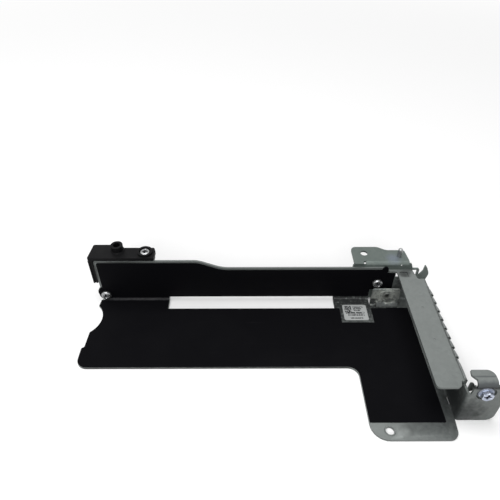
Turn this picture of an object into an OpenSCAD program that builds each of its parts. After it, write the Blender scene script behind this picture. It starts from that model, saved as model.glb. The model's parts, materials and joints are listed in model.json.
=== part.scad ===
// Low-profile riser cage bracket of a 1U server: one folded sheet tray with an insulating
// film, a riveted rear bracket, a plastic corner guide, a spring contact strip and screws.
// Millimetres, +Z up. The part stands on its floor, with the origin under the middle of its box.

/* [Sheet and film] */
// Thickness of the galvanised sheet
sheet_t = 1.2; // [0.8:0.1:1.5]
// Inside radius of every fold
bend_r = 1.2; // [0.8:0.1:1.6]
// Thickness of the black insulating film
film_t = 0.4; // [0.2:0.05:0.5]
// Bare rim left between the film and the floor's edges
film_rim = 0.2; // [0.2:0.1:1.5]
// Bare rim left between the film and the wall's top edge
film_wall_rim = 1.4; // [0.6:0.1:2]

/* [Floor] */
// Length of the cage, from the arm's left end to the inner face of the I/O wall
cage_l = 205; // [195:1:220]
// Depth of the long arm
arm_d = 53.2; // [48:0.2:60]
// Length of the foot, the deep part at the I/O end
foot_l = 44.7; // [42:0.1:52]
// Depth of the foot
foot_d = 96.7; // [94:0.1:110]
// Corner radius at the arm's free end
arm_corner_r = 6; // [2:0.5:9]
// Radius of the inner corner between arm and foot
inner_corner_r = 6; // [2:0.5:10]
// Radius of the foot's left front corner
foot_left_r = 9; // [3:0.5:12]
// Radius of the foot's right front corner
foot_right_r = 5; // [2:0.5:7]

/* [Left end of the arm] */
// How far the heel at the front corner stands out
heel_out = 1.5; // [0.5:0.1:3]
// Depth of the heel, from the arm's front edge
heel_d = 13.8; // [10:0.2:18]
// Radius of the scoop in the left edge
scoop_r = 15; // [12:0.5:18]
// Middle of the scoop, from the wall
scoop_y = 16.5; // [15:0.5:19]
// How far the scoop reaches in from the left end
scoop_in = 7; // [6:0.2:9]

/* [Board window] */
// Left end of the window along the fold
window_x = 47.3; // [42:0.5:52]
// Length of the window
window_l = 106.1; // [90:0.5:107]
// How far the window reaches into the floor
window_d = 8.4; // [6:0.2:9]
// Height of the wall's edge over the window
window_z = 3.2; // [2.8:0.1:5]

/* [Rear wall] */
// Height of the wall at its left part
wall_h = 33.9; // [33:0.1:36]
// Height of the wall right of the slope
wall_low_h = 28; // [27:0.1:29]
// Left edge of the wall
wall_x = 4; // [3:0.5:5]
// Middle of the slope between the two heights
slope_x = 74.7; // [70:0.5:90]
// Length of the slope
slope_l = 14.5; // [10:0.5:20]
// Radius of the round ear at the wall's left foot
ear_r = 5; // [4.5:0.1:5.6]
// Height of the wall's low end beside the I/O wall
wall_end_h = 18; // [16:0.2:18.4]
// Gap between the wall's step and the top plate above it
plate_gap = 0.2; // [0.1:0.1:0.6]

/* [Screw tab] */
// Width of the upright tab
tab_w = 18.1; // [16:0.1:19]
// Height of the tab
tab_h = 14.5; // [13:0.1:15]
// Distance of the tab's front face from the wall
tab_y = 5; // [4.6:0.1:6]
// Distance of the tab's right edge from the I/O wall
tab_inset = 10.5; // [9.5:0.1:12]
// Height of the threaded hole in the tab
tab_hole_z = 10.1; // [9:0.1:11]
// Core diameter of the threaded hole
tab_hole_d = 2.5; // [2.4:0.1:3]
// Height of the notch in the wall behind the tab
tab_notch_h = 9.5; // [7:0.1:10]

/* [I/O wall and top plate] */
// Height of the top plate's upper face
plate_z = 25.9; // [24.5:0.1:26.4]
// Width of the top plate
plate_w = 14.8; // [12:0.1:16]
// Distance of the top plate's front edge from the wall
plate_d = 83; // [82.4:0.1:83.2]
// Inside radius of the I/O wall's folds to the top plate and to the end plate
io_bend_r = 0.4; // [0.3:0.1:1]
// Distance of the I/O wall's back edge from the rear wall
tongue_gap = 7; // [6:0.1:8]
// Length of the card window in the I/O wall
io_window_l = 59; // [50:0.5:60]
// Height of the card window
io_window_h = 13; // [10:0.5:14]
// Height of the card window's lower edge
io_window_z = 5.5; // [4.5:0.1:6.5]
// Gap between the card window and the I/O wall's back edge
io_window_y = 3.4; // [3:0.1:5]

/* [End plate and hook] */
// Distance of the end plate's front face from the top plate's front edge
end_gap = 2.3; // [2:0.1:4]
// How far the end plate reaches out from the I/O wall's inner face
end_w = 19.3; // [18:0.1:22]
// Height of the end plate
end_h = 29.9; // [29.7:0.1:30.4]
// Height of the hook's upper face
hook_z = 32.6; // [32.4:0.1:33.4]
// Width of the hook
hook_w = 9.8; // [8:0.1:11]
// Outer radius of the hook's bend
hook_r = 3; // [2.4:0.1:3.2]
// How far the hook stands in front of the end plate
hook_set = 0.5; // [0.3:0.1:0.8]
// Flat length of the hook behind its bend
hook_l = 5.4; // [4:0.1:7]
// Distance of the hook's left edge from the I/O wall's fold
hook_in = 1.2; // [1.1:0.1:2]

/* [Rear bracket] */
// Height of the rear flange's upper face
flange_z = 31; // [30.5:0.1:32]
// Left end of the rear flange, from the I/O wall
flange_l = 41.5; // [38:0.5:44]
// Right end of the rear flange, from the I/O wall
flange_inset = 7.2; // [6.5:0.1:8]
// Depth of the rear flange at its wide end
flange_d = 17; // [16:0.5:20]
// How much the flange's right part is set back
flange_step = 3.2; // [2:0.1:4]
// Left end of the bracket's leg, from the I/O wall
leg_l = 34; // [33.4:0.1:36]
// Length of the leg's window
leg_window_l = 13.1; // [12:0.1:13.2]
// Height of the leg's window
leg_window_h = 6.7; // [5:0.1:7]

/* [Screws, nuts and rivets] */
// Nominal thread of the screws
screw_d = 3; // [2.5:0.1:3.4]
// Diameter of the pan heads
head_d = 6.2; // [5.5:0.1:6.6]
// Height of the pan heads
head_h = 2; // [1.6:0.1:2.4]
// Radial clearance between a screw and its nut
thread_gap = 0.05; // [0.02:0.01:0.08]
// Radial clearance between a screw and a plain hole
hole_gap = 0.25; // [0.15:0.05:0.35]
// Diameter of the clinch nuts' bodies
nut_d = 6.3; // [5.8:0.1:6.6]
// Height of the clinch nuts' bodies
nut_h = 2.2; // [1.8:0.1:2.6]
// Diameter of the clinch nuts' shanks in the sheet
nut_shank_d = 4.4; // [4.2:0.1:4.6]
// Diameter of the rivets
rivet_d = 2.4; // [2:0.1:2.8]
// Diameter of the rivets' heads
rivet_head_d = 4.2; // [3.6:0.1:4.6]
// Height of the rivets' formed heads
rivet_head_h = 0.8; // [0.6:0.1:1.2]

/* [Corner guide] */
// Left side of the corner guide
guide_x = 0.6; // [0.4:0.1:1]
// Right end of the guide's deck
guide_end = 41.2; // [39:0.2:44]
// Height of the deck's upper face
guide_z = 36.1; // [35.8:0.1:38]
// Depth of the deck's right part, from the wall
guide_d = 10.6; // [10:0.1:13]
// Depth of the deck's left part, from the wall
guide_deep = 13.6; // [13:0.1:16]
// Thickness of the leg down the wall's left edge
guide_leg_t = 2.8; // [2.2:0.1:2.9]
// Height of the leg's lower end
guide_leg_z = 15.3; // [14:0.1:20]
// Outside diameter of the hollow post
post_d = 7.4; // [6.8:0.1:8]
// Bore of the hollow post
post_bore_d = 4.2; // [3.6:0.1:4.8]
// Height of the post over the deck
post_h = 4.2; // [3:0.1:6]
// Depth of the post's bore
post_bore_l = 5.4; // [4:0.1:6]
// Outside diameter of the collar round the guide's screw
collar_d = 9.2; // [8.8:0.1:9.4]
// Height of the collar over the deck
collar_h = 1.2; // [0.8:0.1:1.6]

/* [Contact strip] */
// Thickness of the spring strip
strip_t = 0.25; // [0.15:0.05:0.35]
// Pitch of the strip's fingers
finger_pitch = 6.35; // [5.5:0.05:6.4]
// Gap between two fingers
finger_gap = 0.8; // [0.4:0.1:1.2]
// Radius of the fingers' bulge
finger_r = 0.6; // [0.5:0.05:0.9]

/* [Locating holes and pin] */
// Diameter of the hole in the foot
foot_hole_d = 4.5; // [4:0.1:5]
// Diameter of the hole in the rear flange
flange_hole_d = 4.5; // [4:0.1:5]
// Diameter of the guide pin
pin_d = 2.8; // [2.4:0.1:3.2]
// Height of the guide pin over the flange
pin_h = 6.3; // [5:0.1:8]

/* [Label] */
// Length of the label
label_l = 15.1; // [12:0.1:16]
// Width of the label
label_w = 12.9; // [10:0.1:13]
// Thickness of the label
label_t = 0.12; // [0.08:0.02:0.2]

/* [Hidden] */
$fn = 48;
EPS = 0.01;
FAR = 60;

// Folds: outer radius, how far a fold's section runs on into the flats, and the lines where
// the floor, the wall and the I/O wall turn flat
fold_r = bend_r + sheet_t;
fold_lap = 0.3;
wall_y = film_t;
wall_back = wall_y + sheet_t;
fold_y = wall_y - bend_r;
io_out = cage_l + sheet_t;
end_y = plate_d + end_gap;
io_fold_x = cage_l - bend_r;
io_fold_out = io_bend_r + sheet_t;
plate_fold_x = cage_l - io_bend_r;
plate_fold_z = plate_z - io_fold_out;
foot_x = cage_l - foot_l;

// Screw tab
tab_right = cage_l - tab_inset;
tab_left = tab_right - tab_w;
tab_x = (tab_left + tab_right) / 2;
tab_relief = 0.3;
gusset_x = tab_x + 1;

// Top line of the wall where the top plate passes over it
step_z = plate_z - sheet_t - plate_gap;

// Board screws: places on the wall, the right one measured in from the I/O wall and up
// from the tab's top
left_screw = [7, 5.8];
right_screw_in = 25.2;
right_screw_up = 1.2;
right_screw = [cage_l - right_screw_in, tab_h + right_screw_up];

// Ledge lanced back from the wall under the guide's screw
guide_screw_x = guide_end - 6.2;
guide_screw_y = wall_back + 4.6;
ledge_w = 10.4;
ledge_z = wall_h - 3;
ledge_y = guide_screw_y + 4.4;
ledge_relief = 0.6;
lance_h = 11.6;

// Slot screw in the end plate
slot_x = io_out + 7.7;
slot_z = 24;
slot_d = screw_d + 0.5;
seat_d = 9.8;
seat_depth = 1;
seat_wall = 0.7;

// Rivets through the wall and the bracket's leg
rivet_left = [cage_l - leg_l + 3.6, wall_low_h - 4.4];
rivet_middle = [tab_right - 7, wall_end_h + 1.8];
rivet_right = [tab_right + 3.6, wall_end_h / 2];

// Whole box, for the origin under its middle
box_right = cage_l + end_w;
box_back = flange_d;

// ---------------------------------------------------------------------------
// Outlines
// ---------------------------------------------------------------------------

function unit(v) = v / norm(v);

// Points of one corner: q is [x, y, radius], p and s are its neighbours
function corner(p, q, s, n) =
    let(at = [q[0], q[1]],
        a = unit([p[0], p[1]] - at),
        b = unit([s[0], s[1]] - at),
        half = acos(a * b) / 2)
    (q[2] <= 0) ? [at] :
    let(centre = at + unit(a + b) * q[2] / sin(half),
        from = at + a * q[2] / tan(half) - centre,
        to = at + b * q[2] / tan(half) - centre,
        a0 = atan2(from[1], from[0]),
        turn = (atan2(to[1], to[0]) - a0 + 540) % 360 - 180)
    [for (i = [0:n]) centre + q[2] * [cos(a0 + turn * i / n), sin(a0 + turn * i / n)]];

// A closed outline from a list of [x, y, radius]
function rounded(pts, n = 8) =
    [for (i = [0:len(pts) - 1])
        each corner(pts[(i + len(pts) - 1) % len(pts)], pts[i], pts[(i + 1) % len(pts)], n)];

module outline(pts, n = 8) {
    polygon(rounded(pts, n));
}

// A rectangle between two corners, all its corners rounded
module window(x0, y0, x1, y1, r) {
    outline([[x0, y0, r], [x1, y0, r], [x1, y1, r], [x0, y1, r]], 6);
}

// ---------------------------------------------------------------------------
// Sheet work
// ---------------------------------------------------------------------------

// A sheet standing across Y: its outline is drawn in X and Z
module stand_xz(y, t) {
    translate([0, y + t, 0]) rotate([90, 0, 0]) linear_extrude(t) children();
}

// A sheet standing across X: its outline is drawn in Y and Z
module stand_yz(x, t) {
    translate([x, 0, 0]) rotate([90, 0, 90]) linear_extrude(t) children();
}

// Quarter of a ring round the origin, from angle a on
module quarter_ring(r, t, a) {
    intersection() {
        difference() {
            circle(r + t);
            circle(r);
        }
        rotate(a) square(r + t + 1);
    }
}

// Cross-section of a right-angle fold from angle a on, with a short lap into both flats
module fold_section(r, t, a) {
    quarter_ring(r, t, a);
    rotate(a) translate([r, -fold_lap]) square([t, fold_lap]);
    rotate(a) translate([-fold_lap, r]) square([fold_lap, t]);
}

// A fold that runs along X, centred on y, z
module fold_along_x(x0, x1, y, z, r, t, a) {
    stand_yz(x0, x1 - x0) translate([y, z]) fold_section(r, t, a);
}

// A fold that runs along Y, centred on x, z
module fold_along_y(y0, y1, x, z, r, t, a) {
    stand_xz(y0, y1 - y0) translate([x, z]) fold_section(r, t, a);
}

// Holes across the wall, at a place [x, z], from y0 back
module hole_y(place, y0, l, d) {
    translate([place[0], y0 + l, place[1]]) rotate([90, 0, 0]) cylinder(d = d, h = l);
}

// ---------------------------------------------------------------------------
// Tray: floor, rear wall, screw tab, I/O wall, top plate, end plate and hook
// ---------------------------------------------------------------------------

// How far the foot's right edge draws in towards its front end
foot_taper = 0.9;

// Floor outline; rim draws it smaller all round, for the film on it
module floor_outline(rim, front, right, back) {
    left = heel_out + rim;
    difference() {
        outline([
            [rim, -arm_d + rim, arm_corner_r - rim],
            [foot_x + rim, -arm_d + rim, inner_corner_r],
            [foot_x + rim, front, rim > 0 ? 0.5 : foot_left_r],
            [rim > 0 ? right : right - foot_taper, front, rim > 0 ? 0.5 : foot_right_r],
            [right, rim > 0 ? front + 1 : -plate_d - 2, 0],
            [right, back, 0],
            [left + 1.6, back, 0],
            [left + 1.2, back - 4, 1],
            [left, -arm_d + heel_d, 1.2],
            [rim, -arm_d + heel_d, 0.8]
        ]);
        translate([scoop_in - scoop_r + rim, -scoop_y]) circle(scoop_r, $fn = 96);
    }
}

// The board window and the relief behind the tab, cut out of the floor
module floor_cuts(edge) {
    translate([window_x - edge, -window_d - edge])
        square([window_l + 2 * edge, window_d + edge + FAR]);
}

module floor_plate() {
    edge_x = cage_l - 0.15;
    linear_extrude(sheet_t) difference() {
        floor_outline(0, -foot_d, edge_x, fold_y);
        floor_cuts(0);
        // floor behind the tab, open up to the wall
        translate([tab_left - tab_relief, -tab_y - bend_r])
            square([tab_w + 2 * tab_relief, FAR]);
        // the I/O wall's fold takes the floor's edge over
        translate([io_fold_x, -plate_d + 3]) square([FAR, plate_d - 3 - tongue_gap - 2]);
        // corner relief between the two folds
        translate([io_fold_x - 1.8, -tongue_gap - 2]) square([FAR, FAR]);
        translate([foot_hole[0], foot_hole[1]]) circle(d = foot_hole_d);
    }
}

foot_hole = [foot_x + 9.6, -foot_d + 4.9];
foot_dimple = [foot_hole[0] + 8.5, foot_hole[1] + 0.4];

// Collar round the foot's hole, and the half-pierced locating dimple beside it
module foot_forms() {
    translate([foot_hole[0], foot_hole[1], sheet_t - EPS]) difference() {
        cylinder(d1 = foot_hole_d + 1.4, d2 = foot_hole_d + 0.8, h = 0.5 + EPS);
        translate([0, 0, -1]) cylinder(d = foot_hole_d, h = 3);
    }
    translate([foot_dimple[0], foot_dimple[1], sheet_t - EPS])
        cylinder(d1 = 7.2, d2 = 5.6, h = 0.3 + EPS);
}

// Top line of the rear wall from right to left, lowered by rim
function wall_top(rim) = [
    [slope_x + slope_l / 2, wall_low_h - rim, 22],
    [slope_x - slope_l / 2, wall_h - rim, 16],
    [wall_x + rim, wall_h - rim, 1.2]
];

// Round ear beside the left screw, at the wall's foot
module ear(rim) {
    intersection() {
        translate([left_screw[0], left_screw[1] + 1.6]) circle(ear_r - rim);
        translate([0, fold_r]) square(FAR);
    }
}

module wall_outline() {
    step_x = tab_right - 4.2;
    difference() {
        union() {
            outline(concat(
                [[wall_x, fold_r, 0],
                 [cage_l - 1, fold_r, 0],
                 [cage_l - 1, wall_end_h, 2],
                 [step_x, wall_end_h, 1],
                 [step_x, step_z, 1],
                 [step_x - 7.5, step_z, 0.5],
                 [step_x - 7.5, wall_low_h, 0.5]],
                wall_top(0)));
            ear(0);
        }
        // window edge, and notch behind the tab
        translate([window_x, 0]) square([window_l, window_z]);
        window(tab_left - tab_relief, -FAR, tab_right + tab_relief, tab_notch_h, 1);
        // opening that the ledge was lanced from
        window(guide_screw_x - ledge_w / 2 - ledge_relief, ledge_z + bend_r - lance_h,
            guide_screw_x + ledge_w / 2 + ledge_relief, ledge_z + bend_r, 0.6);
    }
}

module wall_plate() {
    stand_xz(wall_y, sheet_t) wall_outline();
    // folds up from the floor, either side of the window and of the tab
    for (x = [[wall_x, window_x],
              [window_x + window_l, tab_left - tab_relief],
              [tab_right + tab_relief, io_fold_x - 1.8]])
        fold_along_x(x[0], x[1], fold_y, fold_r, bend_r, sheet_t, 270);
}

// Ledge for the guide's screw, bent back from the wall
module ledge() {
    x0 = guide_screw_x - ledge_w / 2;
    fold_along_x(x0, x0 + ledge_w, wall_back + bend_r, ledge_z + bend_r, bend_r, sheet_t, 180);
    translate([0, 0, ledge_z - sheet_t]) linear_extrude(sheet_t)
        outline([[x0, wall_back + bend_r, 0], [x0 + ledge_w, wall_back + bend_r, 0],
                 [x0 + ledge_w, ledge_y, 2], [x0, ledge_y, 2]]);
}

// Gusset pressed into the tab round its hole, widening towards the fold
module gusset_outline(grow) {
    outline([[gusset_x - 6.6 - grow, fold_r - 1, 0], [gusset_x + 6.6 + grow, fold_r - 1, 0],
             [gusset_x + 4.6 + grow, tab_hole_z + 3.6 + grow, 3],
             [gusset_x - 4.6 - grow, tab_hole_z + 3.6 + grow, 3]]);
}

module tab() {
    gusset_t = 0.7;
    foot_r = 3.2;
    difference() {
        union() {
            stand_xz(-tab_y, sheet_t)
                outline([[tab_left, fold_r, 0], [tab_right, fold_r, 0],
                         [tab_right - 0.8, tab_h, 1.4], [tab_left, tab_h, 1.4]]);
            fold_along_x(tab_left, tab_right, -tab_y - bend_r, fold_r, bend_r, sheet_t, 270);
            stand_xz(-tab_y - gusset_t, gusset_t + EPS) gusset_outline(0);
            // rounded foot of the gusset across the fold
            intersection() {
                translate([gusset_x - 6.6, -tab_y, sheet_t - EPS]) rotate([0, 90, 0])
                    cylinder(r = foot_r, h = 13.2);
                translate([0, -tab_y - foot_r, sheet_t - EPS]) cube([FAR * 4, foot_r, foot_r]);
            }
            translate([tab_x, -tab_y - gusset_t, tab_hole_z]) rotate([90, 0, 0])
                cylinder(d1 = tab_hole_d + 2.2, d2 = tab_hole_d + 1.4, h = 0.4);
        }
        hole_y([tab_x, tab_hole_z], -tab_y - 5, 10, tab_hole_d);
        // hollow of the gusset, open at the back
        stand_xz(-tab_y + sheet_t - gusset_t, gusset_t + 1) difference() {
            gusset_outline(-1);
            translate([tab_x, tab_hole_z]) circle(d = tab_hole_d + 1.6);
            translate([tab_x - FAR / 2, -FAR + fold_r + 1]) square([FAR, FAR]);
        }
    }
}

// I/O wall with the card window, folds to the floor and to the top plate
io_front = -end_y + io_fold_out;
io_gap_y = -plate_d + 3.7;
io_end_h = plate_z - 2.5;
module io_wall() {
    top = plate_fold_z;
    stand_yz(cage_l, sheet_t) difference() {
        outline([[io_front, 0, 0], [-plate_d + 2.8, 0, 0], [-plate_d + 2.8, fold_r, 0],
                 [-tongue_gap, fold_r, 0], [-tongue_gap, top, 0], [io_gap_y, top, 0],
                 [io_gap_y, top - 1.5, 0.4], [io_gap_y - 1, top - 1.5, 0.4],
                 [io_gap_y - 1, io_end_h, 0.3], [io_front, io_end_h, 0]]);
        window(-tongue_gap - io_window_y - io_window_l, io_window_z,
            -tongue_gap - io_window_y, io_window_z + io_window_h, 1.2);
    }
    fold_along_y(io_gap_y, -tongue_gap, plate_fold_x, top, io_bend_r, sheet_t, 0);
    difference() {
        fold_along_y(-plate_d + 3, -tongue_gap - 2, io_fold_x, fold_r, bend_r, sheet_t, 270);
        // narrow slot in the fold near its front end
        translate([cage_l - 0.6, -plate_d + 6, -1]) cube([1.1, 5, 2.6]);
    }
}

module top_plate() {
    left = cage_l - plate_w;
    back = wall_back - plate_gap;
    ear_y = -0.5;
    pocket_depth = 0.7;
    pit_y = 6.4;
    pit_pitch = 23;
    difference() {
        translate([0, 0, plate_z - sheet_t]) linear_extrude(sheet_t)
            outline([[left, -plate_d, 2.1], [cage_l - 2.4, -plate_d, 2.6],
                     [cage_l - 1.8, io_gap_y, 0.4], [plate_fold_x, io_gap_y, 0],
                     [plate_fold_x, -tongue_gap, 0], [cage_l - 3.6, -tongue_gap, 1],
                     [cage_l - 5, ear_y, 3], [cage_l - 5, back, 0.6],
                     [left - 4.8, back, 0.6], [left - 4.8, ear_y, 0.6], [left, ear_y, 0.8]]);
        // locating pocket in front of the wall's low end
        translate([0, 0, plate_z - pocket_depth]) linear_extrude(1)
            window(left + 1.4, ear_y - 4.8, left + 6.2, ear_y - 0.4, 0.8);
        // two shallow pits in the upper face
        for (i = [1, 2])
            translate([left + plate_w / 2, -plate_d + pit_y + i * pit_pitch, plate_z - 0.2])
                cylinder(d = 1.6, h = 1);
    }
}

module end_plate() {
    plate_x = cage_l + io_fold_out;
    hook_left = plate_x + hook_in;
    hook_right = hook_left + hook_w;
    relief = 0.25;
    front = -end_y;
    back = front + sheet_t;
    // the hook's joggle starts at set_z, its bend at bend_z and its flat at bend_y
    bend_z = hook_z - hook_r;
    set_z = bend_z - 1;
    bend_y = front - hook_set + hook_r;
    difference() {
        union() {
            linear_extrude(io_end_h) translate([plate_x, io_front])
                fold_section(io_bend_r, sheet_t, 180);
            stand_xz(front, sheet_t)
                outline([[plate_x, 0, 0], [box_right, 0, 4.4], [box_right, end_h, 3],
                         [hook_right + relief, end_h, 0.2], [hook_right + relief, set_z, 0],
                         [hook_left - relief, set_z, 0], [hook_left - relief, end_h, 0.2],
                         [plate_x + 0.2, end_h, 0.4], [plate_x + 0.2, io_end_h, 0],
                         [plate_x, io_end_h, 0]], 5);
            // joggle and bend of the hook
            stand_yz(hook_left, hook_w) {
                polygon([[front, set_z - fold_lap], [back, set_z - fold_lap], [back, set_z],
                         [back - hook_set, bend_z], [front - hook_set, bend_z],
                         [front, set_z]]);
                translate([bend_y, bend_z]) quarter_ring(hook_r - sheet_t, sheet_t, 90);
                translate([bend_y, hook_z - sheet_t]) square([fold_lap, sheet_t]);
            }
            translate([0, 0, hook_z - sheet_t]) linear_extrude(sheet_t)
                outline([[hook_left, bend_y, 0], [hook_right, bend_y, 0],
                         [hook_right, bend_y + hook_l, 3.6],
                         [hook_left - 1.4, bend_y + hook_l, 0.4],
                         [hook_left - 2, bend_y + 2.4, 1.5]]);
            // back of the pressed seat
            hole_y([slot_x, slot_z], back - EPS, seat_depth + EPS, seat_d + 2 * seat_wall);
        }
        hole_y([slot_x, slot_z], front - 1, sheet_t + seat_depth + 2, slot_nut_shank_d);
        // round seat pressed in under the slot screw's head
        hole_y([slot_x, slot_z], front - 1, 1 + seat_depth, seat_d);
    }
}

module rivet_hole(place) {
    hole_y(place, wall_y - 1, FAR / 8, rivet_d);
    translate([place[0], wall_y, place[1]]) rotate([-90, 0, 0])
        cylinder(d1 = rivet_head_d, d2 = rivet_d, h = (rivet_head_d - rivet_d) / 2);
}

module tray() {
    color("#8b9291") difference() {
        union() {
            floor_plate();
            foot_forms();
            wall_plate();
            ledge();
            tab();
            io_wall();
            top_plate();
            end_plate();
        }
        hole_y(left_screw, wall_y - 1, sheet_t + 2, nut_shank_d);
        hole_y(right_screw, wall_y - 1, sheet_t + 2, screw_d + 2 * hole_gap);
        translate([guide_screw_x, guide_screw_y, ledge_z - sheet_t - 1])
            cylinder(d = nut_shank_d, h = sheet_t + 2);
        rivet_hole(rivet_left);
        rivet_hole(rivet_middle);
        rivet_hole(rivet_right);
    }
}

// ---------------------------------------------------------------------------
// Insulating film on the floor and the wall, one sheet folded once
// ---------------------------------------------------------------------------

label_bay_l = 20.1;
label_bay_d = 20.5;
film_right = cage_l - 5.2;
film_front = -foot_d + 9.4;

module film_floor() {
    translate([0, 0, sheet_t]) linear_extrude(film_t) difference() {
        floor_outline(film_rim, film_front, film_right, fold_y);
        floor_cuts(0.3);
        // bare bay for the label, up to the window
        translate([tab_left - label_bay_l, -label_bay_d]) square([label_bay_l, FAR]);
        translate([tab_left - label_bay_l - FAR / 2, -window_d - 0.3]) square(FAR);
        // bare bay round the tab
        translate([tab_left - EPS, -tab_y - foot_clear]) square([FAR, FAR]);
    }
}

foot_clear = 3.4;

module film_wall() {
    end_x = tab_right - 4.8;
    low = fold_r + 0.6;
    difference() {
        union() {
            stand_xz(0, film_t) difference() {
                union() {
                    ear(film_rim);
                    outline(concat(
                        [[wall_x + film_wall_rim, fold_r, 0],
                         [window_x - 0.3, fold_r, 0],
                         [window_x - 0.3, window_z + 0.3, 0],
                         [window_x + window_l, window_z + 0.3, 0],
                         [tab_left - tab_relief - 0.3, low + 0.6, 0.4],
                         [tab_left - tab_relief - 0.3, tab_notch_h + 0.4, 0.6],
                         [end_x, tab_notch_h + 0.4, 1],
                         [end_x, step_z - 0.5, 1],
                         [end_x - 4.8, step_z - 0.5, 0.4],
                         [end_x - 4.8, wall_low_h - 0.4, 0.6],
                         [end_x - 6, wall_low_h + 1.2, 0.8],
                         [end_x - 8, wall_low_h + 0.6, 0.8],
                         [end_x - 8.6, wall_low_h - film_wall_rim, 0.4]],
                        wall_top(film_wall_rim)));
                }
                for (s = [left_screw, right_screw])
                    translate(s) circle(d = screw_d + 2 * hole_gap);
            }
            // raised ring pressed round each screw
            for (s = [left_screw, right_screw])
                stand_xz(-0.3, 0.3 + EPS) intersection() {
                    translate(s) difference() {
                        circle(d = head_d + 2.6);
                        circle(d = head_d + 1.2);
                    }
                    translate([left_screw[0] - ear_r, fold_r]) square([cage_l, FAR]);
                }
        }
    }
}

module insulator_film() {
    color("#18181a") {
        film_floor();
        film_wall();
        fold_along_x(wall_x + film_wall_rim, window_x - 0.3, fold_y, fold_r,
            bend_r - film_t, film_t, 270);
    }
}

module label() {
    x0 = tab_left - label_bay_l + 2.1;
    y0 = -label_bay_d + 2.1;
    color("#c9cbca") translate([0, 0, sheet_t]) linear_extrude(label_t)
        window(x0, y0, x0 + label_l, y0 + label_w, 1.2);
}

// ---------------------------------------------------------------------------
// Rear bracket: leg behind the wall, flange, thin bar over the window and horn
// ---------------------------------------------------------------------------

leg_left = cage_l - leg_l;
flange_left = cage_l - flange_l;
flange_right = cage_l - flange_inset;
flange_fold_y = wall_back + fold_r;
flange_fold_z = flange_z - fold_r;
flange_hole = [flange_left + 7.6, flange_d - 6];
pin_place = [flange_right - 5.4, flange_fold_y + 4];

// Lower edge of the leg behind the wall
leg_low = 0.8;

module leg_outline() {
    post_x = cage_l - 0.3;
    window_x1 = post_x - 1.3;
    window_z0 = wall_end_h + 0.5;
    bar_z = window_z0 + leg_window_h + 0.9;
    ear_x = leg_left - 8;
    difference() {
        outline([
            [ear_x, leg_low, 1.5],
            [post_x + 0.5, leg_low, 2],
            [post_x + 0.5, wall_end_h - 6, 1.5],
            [post_x + 5, wall_end_h - 3, 2],
            [post_x + 6.6, wall_end_h + 4, 5],
            [post_x + 4.5, wall_end_h + 9, 3],
            [post_x + 3, wall_end_h + 10.8, 0.3],
            [post_x + 2.6, wall_end_h + 6, 3],
            [post_x, wall_end_h + 1.7, 0.3],
            [post_x, bar_z, 1.2],
            [flange_right + 2.6, bar_z, 0.8],
            [flange_right + 1.2, flange_z - 0.8, 1],
            [flange_right - EPS, flange_z - 0.8, 0],
            [flange_right - EPS, flange_fold_z, 0],
            [leg_left, flange_fold_z, 0],
            [leg_left, flange_z - sheet_t - 0.4, 0.2],
            [ear_x, flange_z - sheet_t - 0.4, 0.6]
        ], 6);
        window(window_x1 - leg_window_l, window_z0, window_x1, window_z0 + leg_window_h, 0.8);
    }
}

module flange_outline() {
    relief_r = 1.6;
    difference() {
        outline([
            [leg_left, flange_fold_y, 0],
            [flange_right, flange_fold_y, 0],
            [flange_right, flange_fold_y + fold_lap, 0],
            [flange_right - 1, flange_d - flange_step, 1.5],
            [flange_right - 12.4, flange_d - flange_step, 6],
            [flange_right - 17.5, flange_d, 6],
            [flange_left, flange_d, 3.2],
            [flange_left, wall_y + 0.6, 1],
            [leg_left - relief_r, wall_y + 0.6, 0.4],
            [leg_left - relief_r, flange_fold_y - 0.6, 0.6],
            [leg_left, flange_fold_y - 0.6, 0.4]
        ], 8);
        translate(flange_hole) circle(d = flange_hole_d);
        translate(pin_place) circle(d = pin_shank_d);
    }
}

module rear_bracket() {
    color("#8e9a95") difference() {
        union() {
            stand_xz(wall_back, sheet_t) leg_outline();
            fold_along_x(leg_left, flange_right, flange_fold_y, flange_fold_z,
                bend_r, sheet_t, 90);
            translate([0, 0, flange_z - sheet_t]) linear_extrude(sheet_t) flange_outline();
        }
        hole_y(right_screw, wall_back - 1, sheet_t + 2, nut_shank_d);
        hole_y(rivet_left, wall_back - 1, sheet_t + 2, rivet_d);
        hole_y(rivet_middle, wall_back - 1, sheet_t + 2, rivet_d);
        hole_y(rivet_right, wall_back - 1, sheet_t + 2, rivet_d);
        // small relief hole at the top of the leg, in line with the pin
        hole_y([pin_place[0] + 0.6, flange_fold_z], wall_back - 1, sheet_t + 2, 1.6);
    }
}

// Countersunk rivet: flush in the wall's front, formed head behind the bracket
module bracket_rivet(place) {
    sink = (rivet_head_d - rivet_d) / 2;
    back = 2 * sheet_t;
    color("#9aa0a0") translate([place[0], wall_y, place[1]]) rotate([-90, 0, 0])
        rotate_extrude() polygon([
            [0, 0], [rivet_head_d / 2, 0], [rivet_d / 2, sink], [rivet_d / 2, back],
            [rivet_head_d / 2, back], [rivet_head_d / 2 - 0.1, back + rivet_head_h * 0.5],
            [rivet_head_d / 2 - 0.8, back + rivet_head_h], [0, back + rivet_head_h]]);
}

pin_shank_d = pin_d - 0.8;

// Turned guide pin, its shank peened through the flange
module guide_pin() {
    low = flange_z - sheet_t;
    color("#c8cbcb") translate([pin_place[0], pin_place[1], 0]) rotate_extrude() union() {
        polygon([[0, low - 0.5], [pin_d / 2 - 0.2, low - 0.5], [pin_d / 2, low],
                 [pin_shank_d / 2, low], [pin_shank_d / 2, flange_z], [pin_d / 2, flange_z],
                 [pin_d / 2, flange_z + pin_h - pin_d / 2], [0, flange_z + pin_h - pin_d / 2]]);
        intersection() {
            translate([0, flange_z + pin_h - pin_d / 2]) circle(d = pin_d);
            translate([0, flange_z + pin_h - pin_d / 2]) square(pin_d);
        }
    }
}

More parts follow.
